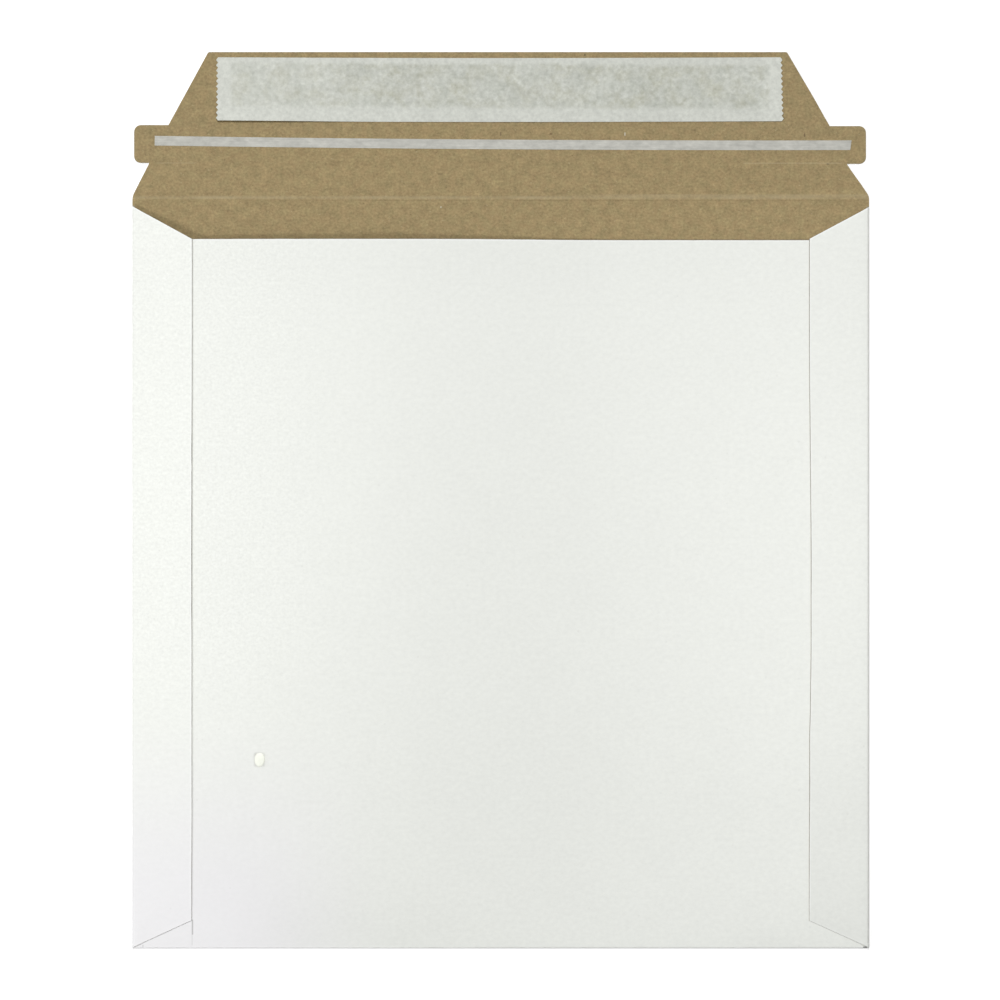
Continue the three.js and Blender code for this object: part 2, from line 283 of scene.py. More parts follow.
# The board sheet's sizes, as it is cut and folded
board = {
    "thickness": 0.6 * mm,
    "halfWidth": 158.95 * mm,
    "bottom": -193.2 * mm,
    "crease": 130.275 * mm,
    "mouth": 112.575 * mm,
    "bottomRadius": 0.6 * mm,  # of the middle of the board, as the side radius
    "bottomPress": 0.8,  # under 1 the bottom fold is squarer than round
    "sideRadius": 1.025 * mm,
    "mouthGape": 4.4 * mm,
    "crest": -0.36,  # where the front stands highest, in half widths from the middle
    "flatFrom": 0.36,  # and from where it lies flat to the right
    "archPower": 3.0,  # of the arch's fall towards the left fold and the bottom
    "mouthSkew": ((-20 * mm, 0.0), (50 * mm, 0.35 * mm)),  # the mouth is cut lower on the right
    "foldRelief": 0.12 * mm,  # cut between the side folds' upper ends and the shoulders
    "lowRelief": 0.05 * mm,  # and at their lower ends
    "sideFlapWidth": {"left": 26.05 * mm, "right": 26.03 * mm},
    "seamTrim": {  # how much narrower the side flaps are cut at places along them
        "left": ((-172 * mm, 0.42 * mm), (-140 * mm, 0.24 * mm), (126 * mm, 0.0)),
        "right": (
            (-168 * mm, 0.0),
            (-125 * mm, 0.16 * mm),
            (-106 * mm, 0.16 * mm),
            (-88 * mm, 0.54 * mm),
            (-62 * mm, 0.77 * mm),
            (-28 * mm, 0.79 * mm),
            (88 * mm, 0.05 * mm),
        ),
    },
    "sideFlapSetback": 3.7 * mm,
    "sideFlapShift": {"left": 0.145 * mm, "right": -0.16 * mm},  # of the upper ends
    # share of that shift, by height over the side fold's upper end
    "shiftBand": ((-60 * mm, 0.0), (0.0, 1.0), (0.12 * mm, 1.0), (2.62 * mm, 0.0)),
    "sideFlapDrop": {"left": 14.24 * mm, "right": 13.87 * mm},  # from the fold to the upper inner corner
    "sideFlapRise": 11.75 * mm,  # from the lower corner to the lower inner corner
    "sideFlapOver": {"left": 0.75 * mm, "right": 0.78 * mm},  # the lower corner over the bottom fold
    "endFade": 1.5,  # power by which the lower end's slant fades up the side flap
    "endThin": {"left": 0.27 * mm, "right": 0.45 * mm},  # the lower ends are pressed thinner
    "thinReach": 5 * mm,  # in from the fold, where that is fully so
    "thinHeight": 14 * mm,  # and up the side flap, where it ends
    "flapLength": 63.0 * mm,
    "flapShoulder": 0.8 * mm,
    "shoulderRadius": {"left": 7.0 * mm, "right": 4.2 * mm},
    "tearStripLow": 15.2 * mm,
    "tearStripHigh": 31.5 * mm,
    "tabEnd": {"left": 158.2 * mm, "right": 157.6 * mm},
    "tabRadius": 2.9 * mm,
    "tabDrop": ((60 * mm, 0.0), (140 * mm, -0.43 * mm)),  # the right tab lies lower
    # share of that drop, by height over the crease
    "dropBand": ((5.4 * mm, 0.0), (12.4 * mm, 1.0), (34.2 * mm, 1.0), (43.2 * mm, 0.0)),
    "tabFoot": {"left": 151.6 * mm, "right": 149.3 * mm},  # half widths of the flap, the die sits askew
    "tabRoot": {"left": 143.4 * mm, "right": 142.0 * mm},
    "flapEdgeEnd": {"left": 126.2 * mm, "right": 123.5 * mm},
    "flapEdgeRadius": 1.0 * mm,
    "cutBevel": 0.22 * mm,  # the die leaves the pocket's cut edges on a slant
    "seamOpen": {  # times this at the side flaps' long edges, by place along the seam
        "left": ((-160 * mm, 0.3), (-62 * mm, 0.35), (-45 * mm, 0.95), (28 * mm, 0.95), (48 * mm, 0.6)),
        "right": ((-160 * mm, 1.08), (-154 * mm, 1.35)),
    },
    "endBevel": {"left": 0.25, "right": 0.0},  # share of it at the side flaps' ends
    "bevelNoise": 160.0,  # scale of the cut edges' unevenness
    "scoreDepth": 0.16 * mm,  # the groove pressed along the crease
    "scoreWidth": 0.62 * mm,
    "bendReach": 2.75 * mm,  # to both sides of the crease
    "warp": 0.3 * mm,
    "warpNoise": (9.0, 1.0),  # scale and detail
    "warpRange": (0.2, 0.8),
    "pitch": 3.9 * mm,  # of the mesh on the wide panels
    "bendPitch": 0.25 * mm,
    "rimRows": (0.4 * mm, 1.2 * mm),  # of the mesh beside a cut edge
    "foldSteps": 14,
    "tabColumns": 6,
}
board["foldX"] = board["halfWidth"] - board["sideRadius"] - board["thickness"] / 2
board["foldY"] = board["bottom"] + board["bottomRadius"] + board["thickness"] / 2
board["sideFoldLow"] = board["foldY"] + board["lowRelief"]
board["sideFoldHigh"] = board["crease"] - board["sideFlapSetback"]
board["frontTop"] = 2 * board["bottomRadius"] + board["thickness"]
board["frontStart"] = board["foldY"] - math.pi * board["bottomRadius"]  # past the bottom fold, on the blank


# Finishes read the flat blank's places, in mm, so that they follow every fold
whiteFinish = {
    "colour": (0.82, 0.835, 0.793),
    "grain": {"Grain": 560.0, "Stretch": 1.2, "Clouds": 38.0},
    "clouding": 0.022,
    "mottle": 0.074,
    "mottleGreyed": 0.0296,  # less of it where the coat is greyed
    "mottleBroad": (130.0, 0.014),  # scale and amount
    "mottleAtGlue": 0.14,  # more of it, and finer, where the left side flap's glue shows through
    "glueNoise": (820.0, 3.0, 0.65),
    "gluedAt": (("x", -120, -40, 1.0, 0.0), ("up", 60, 150)),
    "greyed": (0.823, 0.818, 0.826),  # where the coat has lost its tint
    "greyedAt": (("x", -120, -40, 1.0, 0.0), ("up", 15, 110, 1.0, 0.0)),
    "tones": (  # painted light and shade: slow changes over the front and side flaps, for the light falling off across them
        (("aside", 10, 155, -0.045, 0.045), ("up", 180, 290, 1.0, 0.72)),  # greyer along the middle
        # greyer low down towards the sides, and palest halfway up
        (("up", 15, 110, 1.0, 0.0), ("aside", 40, 130, 0.0, -0.03), ("onRight", 0, 1, 1.0, 1.6)),
        (("up", 50, 150, 0.0, 0.022), ("up", 190, 300, 1.0, 0.0), ("onRight", 0, 1, 1.0, 1.6)),
        (("x", -1, 1, 0.014, -0.024), ("onFlap", 0, 1)),  # painted light and shade: the left side flap paler, the right greyer, than the front beside them
        (("up", 4, 40, 1.0, 0.0), ("x", -125, -85, 0.014, -0.03)),  # uneven along the bottom
        (("up", 4, 40, 1.0, 0.0), ("x", -50, 0, 0.0, 0.028)),
        (("up", 4, 40, 1.0, 0.0), ("x", 50, 130, 0.0, -0.018)),
        (("up", 3, 15, 1.0, 0.0), ("x", 85, 120, 0.0, -0.024)),
        (("up", 270, 303, 0.0, -0.019), ("onFlap", 0, 1, 1.0, 0.3)),  # greyer below the mouth
        (("up", 220, 270), ("x", 50, 105, 0.0, -0.01), ("onFlap", 0, 1, 1.0, 0.3)),
        (("past", -0.2, 0.6), ("x", -90, 20, 0.2, 0.1), ("onFlap", 0, 1, 1.0, 0.0)),  # painted light on the bottom fold, more towards the left
    ),
    "specks": {"Scale": 420.0, "Share": 0.018, "Size": 0.28},
    "speckAmount": 0.12,
    "speckTint": (0.5, 0.5, 0.47),
    # painted highlight: a paler band along the cut edges, where they would catch the light
    "paintedHighlight": (0.95, 0.96, 0.95),
    "highlightBand": {"Width": 1.0 * mm, "Ragged": 0.35},
    "highlightAmount": 0.45,
    "lessHighlight": (("onFlap", 0, 1, 0.0, -0.33), ("up", 14, 18, 1.0, 0.0)),  # less of the painted highlight at the side flaps' lower ends
    "roughness": (-0.6, 0.6, 0.5, 0.62),  # a value's low and high, and the roughness there
    "specular": 0.3,
    "bump": (0.25, 0.05 * mm),  # strength and depth
    "marks": [
        (-133.1, -200.0, 0.0, 5.4, 0.4, 0.3, (0.42, 0.42, 0.4)),  # painted shade of a line pressed in by the side flap's cut
        (-132.9, -202.3, 0.0, 3.0, 0.5, 0.6, (0.3, 0.3, 0.29)),
        (-154.3, -194.0, 0.05, 0.5, 0.35, 0.4, (0.3, 0.3, 0.29)),
        (157.2, -193.65, 0.6, 0.05, 0.62, 0.95, (0.03, 0.03, 0.03)),  # painted shade in the corner's gap
        (-104.05, -274.6, 1.5, 2.2, 1.4, 0.5, (0.45, 0.45, 0.41)),  # painted shade: a dark ring round the dried drop's foot
        (-103.2, -274.6, 1.0, 1.2, 3.4, 0.12, (0.6, 0.61, 0.5)),
    ],
}
kraftFinish = {
    "colours": ((0.3138, 0.2472, 0.1251), (0.3309, 0.2467, 0.1261)),
    "hueNoise": (260.0, 2.0, 0.6),  # scale, detail and roughness, as every noise here
    "hueRange": (-0.4, 0.4),
    "grain": {"Grain": 950.0, "Stretch": 1.1, "Clouds": 230.0},
    "grainTones": (0.48, 0.29),  # of the fine grain and the clouding
    "tones": (
        (("x", -20, 120, 0.0, 0.05), ("y", 118, 140, 1.0, 0.0)),  # paler at the lower right
        (("y", 138, 164, 0.0, -0.035),),
    ),
    # dark fibres and specks, and also the painted shade below the crease
    "darkFibreAndShade": (0.15, 0.11, 0.06),
    "paleFibre": (0.52, 0.43, 0.26),
    "fibreNoise": (1050.0, 2.0, 0.6),
    "fibreSquash": 0.7,  # along X
    "darkShare": (0.24, 0.5, 0.0, 0.5),  # from and to in the noise, amount before and after
    "paleShare": (-0.5, -0.26, 0.45, 0.0),
    "specks": {"Scale": 260.0, "Share": 0.025, "Size": 0.11},
    "speckAmount": 0.55,
    "streakNoise": (900.0, 2.0, 0.6),  # faint streaks to both sides of the crease
    "streakSquash": 0.02,
    "streakReach": (1.5, 4.5, 1.0, 0.0),
    "streakAmount": 0.09,
    "patchNoise": (45.0, 4.0, 0.65),
    "patchRange": (-0.35, 0.35, 0.35, 1.0),
    # painted light on the crease
    "paintedCreaseLight": (0.5, 0.42, 0.27),
    "creaseLines": (  # painted light and shade along the crease: middle over the crease, then near, far, strength there, slopes along, patchy, tint
        (0.25, 0.1, 1.05, 0.4, (), True, "paintedCreaseLight"),  # painted light: a light band
        (1.15, 0.1, 0.9, 0.2, (("x", 20, 60),), False, "paintedCreaseLight"),  # wider to the right
        # painted shade: a dark line below the crease
        (-1.0, 0.05, 0.45, 0.32, (("x", -115, -85), ("x", 30, 90, 1.0, 0.65)), True, "darkFibreAndShade"),
    ),
    "roughness": (-0.7, 0.7, 0.78, 0.92),
    "specular": 0.2,
    "bump": (0.5, 0.08 * mm),
    "marks": [
        (36.3, 192.0, 0.0, 0.0, 0.55, 0.9, (0.02, 0.02, 0.02)),
        (53.6, 157.9, 0.0, 0.55, 0.3, 0.65, (0.8, 0.8, 0.75)),
        (0.0, 158.0, 0.0, 0.5, 0.5, 0.6, (0.1, 0.07, 0.05)),
        (21.7, 158.0, 0.3, 0.2, 0.5, 0.5, (0.12, 0.07, 0.04)),
        (131.1, 157.4, 0.0, 0.5, 0.5, 0.7, (0.1, 0.06, 0.04)),
        (141.1, 145.0, 0.2, 0.0, 0.55, 0.65, (0.09, 0.07, 0.05)),
        (-25.8, 126.4, 0.05, 0.0, 0.42, 0.65, (0.8, 0.78, 0.7)),
        (-26.1, 140.6, 0.7, 0.1, 0.7, 0.4, (0.12, 0.09, 0.05)),
        (126.0, 145.3, 21.0, 0.0, 0.45, 0.22, (0.6, 0.5, 0.33)),
        (-140.0, 145.4, 8.0, 0.0, 0.45, 0.15, (0.6, 0.5, 0.33)),
    ],
}
edgeFinish = {
    "grain": {"Grain": 1500.0, "Stretch": 1.0, "Clouds": 200.0},
    "grainTone": 0.25,
    "plyNoise": 1.6,
    "plyCount": 7.0,
    "plyRange": (0.35, 0.65),
    "plies": ((0.27, 0.25, 0.215), (0.45, 0.43, 0.385)),
    "coat": (0.8, 0.81, 0.78),  # the coat's thin line
    "coatDepth": (0.06, 0.12, 1.0, 0.0),  # in boards
    "roughness": (0.3, 0.7, 0.85, 0.95),
    "specular": 0.15,
    "bump": (0.5, 0.08 * mm),
}


def whiteCoatMaterial(finish):
    material, tree = startMaterial("whiteCoat")
    place = attribute(tree, "sheet", "Vector")
    x, y, _ = split(place)
    aside = absolute(x)
    onFlap = isOver(aside, board["halfWidth"])
    front = atLeast(isUnder(y, board["foldY"]), onFlap)
    places = {
        "x": divided(x, mm),
        "aside": divided(aside, mm),
        "up": divided(absolute(minus(y, board["foldY"])), mm),  # over the bottom fold, on front and flaps
        "past": divided(minus(y, board["frontStart"]), mm),
        "onFlap": onFlap,
        "onRight": isOver(x, board["halfWidth"]),
    }
    grain = useGroup(paperGrain, {"Vector": place, **finish["grain"]})
    colour = toned(finish["colour"], grain["Clouding"], finish["clouding"])
    greyed = slopes(places, finish["greyedAt"])
    colour = mixed(times(greyed, front), colour, finish["greyed"])
    # painted light and shade: the slow tones over the front and side flaps
    colour = toned(colour, slopes(places, *finish["tones"]), front)
    mottle = ranged(greyed, 0.0, 1.0, finish["mottle"], finish["mottleGreyed"], False)
    colour = toned(colour, grain["Fine"], mottle)
    scale, amount = finish["mottleBroad"]
    colour = toned(colour, noise(place, scale), amount)
    glued = times(slopes(places, finish["gluedAt"]), finish["mottleAtGlue"])
    colour = toned(colour, noise(place, *finish["glueNoise"]), glued)
    colour = specked(colour, place, finish, finish["speckTint"])
    # painted highlight: a paler band along the cut edges
    inputs = {"Vector": place, "Distance": attribute(tree, "cut"), **finish["highlightBand"]}
    amount = plus(slopes(places, finish["lessHighlight"]), finish["highlightAmount"])
    paintedHighlight = times(useGroup(edgeHighlight, inputs)["Mask"], amount)
    colour = mixed(paintedHighlight, colour, finish["paintedHighlight"])
    colour = marked(colour, place, finish["marks"])
    return endMaterial(material, finish, colour, grain["Clouding"], grain["Height"])


def kraftFaceMaterial(finish):
    material, tree = startMaterial("kraftFace")
    place = attribute(tree, "sheet", "Vector")
    x, y, _ = split(place)
    up = divided(minus(y, board["crease"]), mm)
    places = {"x": divided(x, mm), "y": divided(y, mm)}
    grain = useGroup(paperGrain, {"Vector": place, **finish["grain"]})
    hue = ranged(noise(place, *finish["hueNoise"]), *finish["hueRange"])
    colour = mixed(hue, *finish["colours"])
    colour = grained(colour, grain, finish)
    colour = toned(colour, slopes(places, *finish["tones"]), 1.0)
    fibres = noise(combine(times(x, finish["fibreSquash"]), y, 0.3), *finish["fibreNoise"])
    colour = mixed(ranged(fibres, *finish["darkShare"]), colour, finish["darkFibreAndShade"])
    colour = mixed(ranged(fibres, *finish["paleShare"]), colour, finish["paleFibre"])
    colour = specked(colour, place, finish, finish["darkFibreAndShade"])
    streaks = noise(combine(times(x, finish["streakSquash"]), y, 5.0), *finish["streakNoise"])
    streaks = times(streaks, ranged(absolute(up), *finish["streakReach"]))
    colour = toned(colour, streaks, finish["streakAmount"])
    patches = ranged(noise(place, *finish["patchNoise"]), *finish["patchRange"])
    # painted light and shade along the crease
    for middle, near, far, strength, along, patchy, tint in finish["creaseLines"]:
        places["off"] = absolute(minus(up, middle))
        line = slopes(places, (("off", near, far, strength, 0.0), *along))
        colour = mixed(times(line, patches) if patchy else line, colour, finish[tint])
    colour = marked(colour, place, finish["marks"])
    return endMaterial(material, finish, colour, grain["Fine"], grain["Height"])


def rawEdgeMaterial(finish):
    material, tree = startMaterial("rawEdge")
    ply = attribute(tree, "ply")
    grain = useGroup(paperGrain, {"Vector": attribute(tree, "sheet", "Vector"), **finish["grain"]})
    plies = cloud(combine(times(ply, finish["plyCount"]), grain["Clouding"], 0.0), finish["plyNoise"])
    colour = mixed(ranged(plies, *finish["plyRange"]), *finish["plies"])
    colour = toned(colour, grain["Fine"], finish["grainTone"])
    colour = mixed(ranged(ply, *finish["coatDepth"]), colour, finish["coat"])
    return endMaterial(material, finish, colour, plies, plies)


whiteCoat = whiteCoatMaterial(whiteFinish)
kraftFace = kraftFaceMaterial(kraftFinish)
rawEdge = rawEdgeMaterial(edgeFinish)
print("board finishes made")


# Geometry node helpers and groups that the pieces share
def stored(tree, name, kind="FLOAT"):
    node = addNode(tree, "GeometryNodeInputNamedAttribute", data_type=kind)
    node.inputs["Name"].default_value = name
    return node.outputs[0]


def store(geometry, name, value, kind="FLOAT"):
    inputs = {"Geometry": geometry, "Name": name, "Value": value}
    return wire("GeometryNodeStoreNamedAttribute", inputs, data_type=kind, domain="POINT")[0]


def pointPlace(tree):
    return addNode(tree, "GeometryNodeInputPosition").outputs[0]


def grid(sizeX, sizeY, columns, rows):
    inputs = {"Size X": sizeX, "Size Y": sizeY, "Vertices X": columns, "Vertices Y": rows}
    return wire("GeometryNodeMeshGrid", inputs)[0]


def cutDistance(geometry):  # from each point of a flat sheet to its nearest cut edge
    neighbours = addNode(geometry.id_data, "GeometryNodeInputMeshEdgeNeighbors").outputs["Face Count"]
    single = wire("FunctionNodeCompare", {2: neighbours, 3: 1}, data_type="INT", operation="EQUAL")[0]
    inputs = {"Geometry": geometry, "Selection": single}
    rims = wire("GeometryNodeSeparateGeometry", inputs, domain="EDGE")[0]
    return wire("GeometryNodeProximity", {0: rims}, target_element="EDGES")["Distance"]


def ended(geometry, *finishes):  # finishes are (material, selection)
    geometry = wire("GeometryNodeRealizeInstances", {"Geometry": geometry})[0]
    for material, chosen in finishes:
        inputs = {"Geometry": geometry, "Material": material, "Selection": chosen}
        geometry = wire("GeometryNodeSetMaterial", inputs)[0]
    return endGroup(Geometry=geometry)


def picked(sizes, names):
    return {name: sizes[name] for name in names.split()}


def pieceTree(name, own, names):  # a geometry tree with an input for each name, started at its size
    inputs = picked({"Geometry": None, **board, **own}, names)
    return makeGroup(name, "GeometryNodeTree", inputs, {"Geometry": None})


def boardWarpGroup():  # slow unevenness of the lying board
    inputs = {"X": 0.0, "Y": 0.0, "warp": board["warp"]}
    _, given = makeGroup("boardWarp", "GeometryNodeTree", inputs, {"Lift": 0.0})
    slow = cloud(combine(given["X"], given["Y"], 3.7), *board["warpNoise"])
    return endGroup(Lift=times(ranged(slow, *board["warpRange"]), given["warp"]))


def frontRiseGroup():  # the front panel's arch: nothing at its folds, most at the mouth
    inputs = {"X": 0.0, "Y": 0.0, **picked(board, "foldX foldY mouth mouthGape crest flatFrom archPower")}
    _, given = makeGroup("frontRise", "GeometryNodeTree", inputs, {"Rise": 0.0})
    across = divided(given["X"], given["foldX"])
    down = ranged(given["Y"], given["foldY"], given["mouth"], 1.0, 0.0, False)
    leftward = ranged(across, -1.0, given["crest"], 1.0, 0.0, False)
    leftFall = minus(1.0, power(leftward, given["archPower"]))
    sideways = times(leftFall, ranged(across, given["crest"], given["flatFrom"], 1.0, 0.0))
    lengthways = minus(1.0, power(down, given["archPower"]))
    return endGroup(Rise=times(sideways, lengthways, given["mouthGape"]))


def thickenGroup():  # a closed sheet from a surface, grown along its normals
    inputs = {"Geometry": None, "Thickness": board["thickness"]}
    outputs = {"Geometry": None, "Grown": False, "Rim": False}
    tree, given = makeGroup("thickenSheet", "GeometryNodeTree", inputs, outputs)
    inputs = {"Mesh": given["Geometry"], "Offset Scale": given["Thickness"], "Individual": False}
    grown = wire("GeometryNodeExtrudeMesh", inputs, mode="FACES")
    under = wire("GeometryNodeFlipFaces", {"Mesh": given["Geometry"]})[0]
    both = addNode(tree, "GeometryNodeJoinGeometry")
    for part in (grown["Mesh"], under):
        feed(part, both.inputs[0])
    closed = wire("GeometryNodeMergeByDistance", {"Geometry": both.outputs[0], "Distance": 1e-6})[0]
    layered = store(closed, "ply", grown["Top"])  # 0 on the surface, 1 on the grown side
    return endGroup(Geometry=layered, Grown=grown["Top"], Rim=grown["Side"])


boardWarp, frontRise, thickenSheet = boardWarpGroup(), frontRiseGroup(), thickenGroup()


def laid(given, flat, x, y, finish, *rises):  # a flat strip put in its place, thickened and finished
    lift = useGroup(boardWarp, {"X": x, "Y": y, "warp": given["warp"]})["Lift"]
    place = combine(x, y, plus(given["height"], lift, *rises))
    placed = wire("GeometryNodeSetPosition", {"Geometry": flat, "Position": place})[0]
    closed = useGroup(thickenSheet, {"Geometry": placed, "Thickness": given["thickness"]})
    return ended(closed["Geometry"], (finish, True))


def newPiece(name, mesh=None):
    piece = bpy.data.objects.new(name, mesh or bpy.data.meshes.new(name))
    bpy.context.scene.collection.objects.link(piece)
    return piece


def shapeWith(piece, tree, own):  # runs a tree on a piece and keeps its result as a plain mesh
    sizes = {**board, **own}
    modifier = piece.modifiers.new(tree.name, "NODES")
    modifier.node_group = tree
    for item in tree.interface.items_tree:
        if item.in_out == "INPUT" and item.name in sizes:
            modifier[item.identifier] = sizes[item.name]
    graph = bpy.context.evaluated_depsgraph_get()
    shaped = piece.evaluated_get(graph)
    mesh = bpy.data.meshes.new_from_object(shaped, preserve_all_data_layers=True, depsgraph=graph)
    piece.modifiers.clear()
    piece.data = mesh
    mesh.name = piece.name
    mesh.shade_smooth()
    mesh.set_sharp_from_angle(angle=math.radians(45))
    print(piece.name, "shaped:", len(mesh.polygons), "faces")
    return piece


def fasten(piece, body, node):  # to its body, in its solid's stead
    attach(piece, body)
    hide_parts(node)


# The flat blank, kraft face up: panels, folds and flaps as the die cuts them
def gridLines(start, end, pitch):
    count = max(1, math.ceil(abs(end - start) / pitch - 1e-6))
    return [start + (end - start) * i / count for i in range(count + 1)]


def rimmed(values, low=False, high=False):  # adds narrow rows beside a cut edge
    rows = list(values)
    if low:
        rows += [values[0] + step for step in board["rimRows"]]
    if high:
        rows += [values[-1] - step for step in board["rimRows"]]
    return sorted(rows)


def roundRows(radius, degrees, count):  # heights of a rounded corner's rows
    return [radius * (1 - math.cos(math.radians(degrees * i))) for i in range(count)]


def eased(share):  # from 0 to 1 without a kink at either end
    share = min(max(share, 0.0), 1.0)
    return share**2 * (3 - 2 * share)


def graded(knots, place):  # eased steps between knots of (place, amount)
    if place <= knots[0][0]:
        return knots[0][1]
    for (start, low), (stop, high) in zip(knots, knots[1:]):
        if place < stop:
            return low + (high - low) * eased((place - start) / (stop - start))
    return knots[-1][1]


def handOf(x):
    return "left" if x < 0 else "right"


def mirrored(rows):
    return [[(-x, *rest) for x, *rest in reversed(row)] for row in rows]


def askew(x, y):  # how far a point of the blank lies off the drawn place, as the die was set
    over = y - board["crease"]
    if over > 0:
        return graded(board["tabDrop"], x) * graded(board["dropBand"], over)
    if abs(x) > board["foldX"] - 1e-6 and y > board["foldY"]:
        return board["sideFlapShift"][handOf(x)] * graded(board["shiftBand"], y - board["sideFoldHigh"])
    return 0.0


def flapSide(y, hand):  # half width of the closure flap at a height over the crease, corners rounded
    heights = [board[key] for key in ("flapShoulder", "tearStripLow", "tearStripHigh", "flapLength")]
    widths = [board["halfWidth"]] + [board[key][hand] for key in ("tabFoot", "tabRoot", "flapEdgeEnd")]
    lean = math.atan2(widths[0] - widths[1], heights[1] - heights[0])
    radius = board["shoulderRadius"][hand]
    low = heights[0] - radius * math.tan(lean / 2)
    if y <= low:
        return widths[0]
    if y < low + radius * math.sin(lean):
        return widths[0] - radius + math.sqrt(radius**2 - (y - low) ** 2)
    lean = math.atan2(widths[2] - widths[3], heights[3] - heights[2])
    radius = board["flapEdgeRadius"]
    high = heights[3] - radius
    if y > high + radius * math.sin(lean):
        middle = widths[3] - radius * math.tan((math.pi / 2 - lean) / 2)
        return middle + math.sqrt(max(radius**2 - (y - high) ** 2, 0.0))
    part = 0 if y < heights[1] else 1 if y < heights[2] else 2
    share = (y - heights[part]) / (heights[part + 1] - heights[part])
    return widths[part] + (widths[part + 1] - widths[part]) * share


def flatBlank():
    pitch, crease, foldX, foldY = (board[key] for key in ("pitch", "crease", "foldX", "foldY"))
    nearRim, farRim = board["rimRows"]
    widest, frontStart = board["halfWidth"], board["frontStart"]
    sheet = bmesh.new()
    turning = sheet.verts.layers.float.new("turning")  # what goes round with the side folds
    thinned = sheet.verts.layers.float.new("thinned")  # how far the outer face is pressed down
    welded = {}

    def corner(turns, x, y, thin=0.0):
        key = (round(x * 1e7), round(y * 1e7), turns and abs(x) > foldX + 1e-6)
        if key not in welded:
            welded[key] = sheet.verts.new((x, y + askew(x, y), 0.0))
            welded[key][turning] = float(key[2])
            welded[key][thinned] = thin
        return welded[key]

    def patch(rows, turns=False):  # rows of (x, y), from low to high and left to right
        for low, high in zip(rows, rows[1:]):
            for i in range(len(low) - 1):
                sheet.faces.new([corner(turns, *p) for p in (low[i], low[i + 1], high[i + 1], high[i])])

    backXs = gridLines(-foldX, foldX, pitch)
    ear = [widest - nearRim, widest]
    fullXs = [-x for x in reversed(ear)] + backXs + ear
    sideYs = rimmed(gridLines(board["sideFoldLow"], board["sideFoldHigh"], pitch), True, True)
    shoulder = board["sideFoldHigh"] + board["foldRelief"]
    bendYs = gridLines(shoulder, crease + board["bendReach"] + nearRim, board["bendPitch"])

    # back panel, then the whole width from the shoulders through the crease
    patch([[(x, y) for x in backXs] for y in [foldY, *sideYs, shoulder]])
    tab = board["tabRadius"]
    tabTurns = roundRows(tab, 15, 7)
    bandLow, bandHigh = crease + board["tearStripLow"], crease + board["tearStripHigh"]
    bandYs = [bandLow + turn for turn in tabTurns]
    bandYs += gridLines(bandLow + tab, bandHigh - tab, pitch)[1:-1]
    bandYs += [bandHigh - turn for turn in reversed(tabTurns)]
    top = crease + board["flapLength"]
    topTurns = roundRows(board["flapEdgeRadius"], 12, 6)
    flapYs = bendYs + gridLines(bendYs[-1], bandLow, pitch)[1:-1] + bandYs
    flapYs += gridLines(bandHigh, top - farRim, pitch)[1:] + [top - turn for turn in reversed(topTurns)]
    patch([[(x / widest * flapSide(y - crease, handOf(x)), y) for x in fullXs] for y in flapYs])

    # pull tabs at both ends of the tear strip
    def tabRows(hand):
        rows = []
        columns = board["tabColumns"]
        for y in bandYs:
            dip = max(tab - (y - bandLow), tab - (bandHigh - y), 0.0)
            start = flapSide(y - crease, hand)
            end = board["tabEnd"][hand] - tab + math.sqrt(max(tab**2 - dip**2, 0.0))
            inner = end - nearRim
            row = [(start + (inner - start) * i / columns, y) for i in range(columns + 1)]
            rows.append([*row, (end, y)])
        return rows

    patch(tabRows("right"))
    patch(mirrored(tabRows("left")))

    # bottom fold and front panel
    frontEnd = frontStart - (board["mouth"] - foldY)
    foldYs = gridLines(frontStart, foldY, math.pi * board["bottomRadius"] / board["foldSteps"])
    patch([[(x, y) for x in fullXs] for y in foldYs])

    def skewed(x, y):
        return y + graded(board["mouthSkew"], x) * (frontStart - y) / (frontStart - frontEnd)

    frontYs = rimmed(gridLines(frontEnd, frontStart, pitch), True)
    patch([[(x, skewed(x, y)) for x in backXs] for y in frontYs])

    # side folds and side flaps, their ends cut on the slant
    def sideFlapRows(hand):
        radius, low, high = board["sideRadius"], board["sideFoldLow"], board["sideFoldHigh"]
        arc, outer = math.pi * radius, widest - foldX
        reach = board["sideFlapWidth"][hand] - outer
        outs = gridLines(0.0, arc, arc / board["foldSteps"])
        outs += rimmed(gridLines(arc, arc + reach, pitch), False, True)[1:]
        rows = []
        for y in sideYs:
            along = (y - low) / (high - low)
            trim = graded(board["seamTrim"][hand], y)
            press = board["endThin"][hand] * eased(1 - (y - low) / board["thinHeight"])
            row = []
            for out in outs:
                past = max(out - arc, 0.0)
                turn = min(out, arc) / radius
                inward = (past + outer * (1 - math.sin(max(turn, math.pi / 2)))) / (reach + outer)
                over = board["sideFlapOver"][hand] * math.sin(min(turn, math.pi / 2)) ** 2
                slant = (board["sideFlapRise"] * inward - over) * (1 - along) ** board["endFade"]
                slant -= board["sideFlapDrop"][hand] * along * inward
                thin = press * eased(past / board["thinReach"])
                row.append((foldX + out - past / reach * trim, y + slant, thin))
            rows.append(row)
        return rows

    patch(sideFlapRows("right"), True)
    patch(mirrored(sideFlapRows("left")), True)

